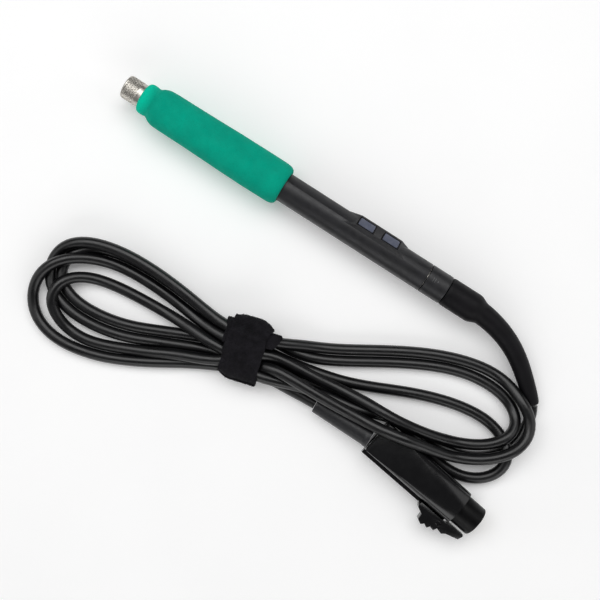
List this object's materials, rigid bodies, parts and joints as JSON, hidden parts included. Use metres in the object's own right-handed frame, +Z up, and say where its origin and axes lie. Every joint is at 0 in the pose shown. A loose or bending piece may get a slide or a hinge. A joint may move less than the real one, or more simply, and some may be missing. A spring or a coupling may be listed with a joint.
{
  "type": "soldering iron handle",
  "caption": "Slim soldering handle with foam grip, knurled socket ferrule, push buttons, curved cable boot and a tied cable with a latching round connector.",
  "frame": {"origin": "under the middle of the straight handle, on the surface that it lies on", "axes": "+X along the handle from the knurled ferrule to the cable end, +Z up from the surface, +Y away from the tied cable"},
  "size_m": [0.2227, 0.1162, 0.0183],
  "materials": {
    "ferrule_steel": "coarse knurled, satin nickel",
    "grip_foam": "closed-cell foam, matt green",
    "handle_plastic": "fine moulded texture, black",
    "button_plastic": "slate grey, satin",
    "boot_rubber": "smooth moulded rubber, black",
    "cord_rubber": "silicone-like satin sheath, black",
    "strap_fabric": "hook-and-loop tape, black",
    "connector_plastic": "semi-gloss moulded, black",
    "contact_brass": "plated contact metal",
    "insulator_plastic": "pale insulating plastic",
    "board_laminate": "green circuit laminate",
    "wire_insulation": "wire insulation"
  },
  "bodies": {
    "root": {"front_ferrule": "ferrule_steel", "socket_tube": "ferrule_steel", "bayonet_sleeve": "ferrule_steel", "shell_screw_1": "ferrule_steel", "shell_screw_2": "ferrule_steel", "latch_pin": "ferrule_steel", "latch_spring": "ferrule_steel", "grip_sleeve": "grip_foam", "handle_tube": "handle_plastic", "rear_collar": "handle_plastic", "front_switch": "handle_plastic", "rear_switch": "handle_plastic", "cable_boot": "boot_rubber", "connector_sleeve": "boot_rubber", "cord_lead": "cord_rubber", "cord_hank": "cord_rubber", "cord_tail": "cord_rubber", "cable_end": "cord_rubber", "cable_strap": "strap_fabric", "connector_lower_shell": "connector_plastic", "connector_cover": "connector_plastic", "connector_nose": "connector_plastic", "contact_ring": "contact_brass", "centre_contact": "contact_brass", "contact_1": "contact_brass", "contact_2": "contact_brass", "contact_3": "contact_brass", "contact_4": "contact_brass", "contact_5": "contact_brass", "contact_6": "contact_brass", "guide_bush": "insulator_plastic", "contact_insulator": "insulator_plastic", "socket_end_plug": "insulator_plastic", "contact_insert": "insulator_plastic", "cord_clamp": "insulator_plastic", "switch_board": "board_laminate", "power_wire": "wire_insulation", "sensor_wire": "wire_insulation", "earth_wire": "wire_insulation"},
    "front_button": {"front_button": "button_plastic", "front_plunger": "handle_plastic"},
    "rear_button": {"rear_button": "button_plastic", "rear_plunger": "handle_plastic"},
    "latch": {"latch_lever": "connector_plastic"}
  },
  "joints": [
    {"name": "front_button_press", "type": "slide", "parent": "root", "child": "front_button", "axis": [0, -0.7071, -0.7071], "range_m": [0, 0.0004], "stiffness_N_per_m": 200},
    {"name": "rear_button_press", "type": "slide", "parent": "root", "child": "rear_button", "axis": [0, -0.7071, -0.7071], "range_m": [0, 0.0004], "stiffness_N_per_m": 200},
    {"name": "latch_release", "type": "hinge", "parent": "root", "child": "latch", "pos_m": [0.12907, -0.08369, 0.0068], "axis": [0, 0, -1], "range_deg": [0, 4], "stiffness_Nm_per_rad": 0.02}
  ]
}
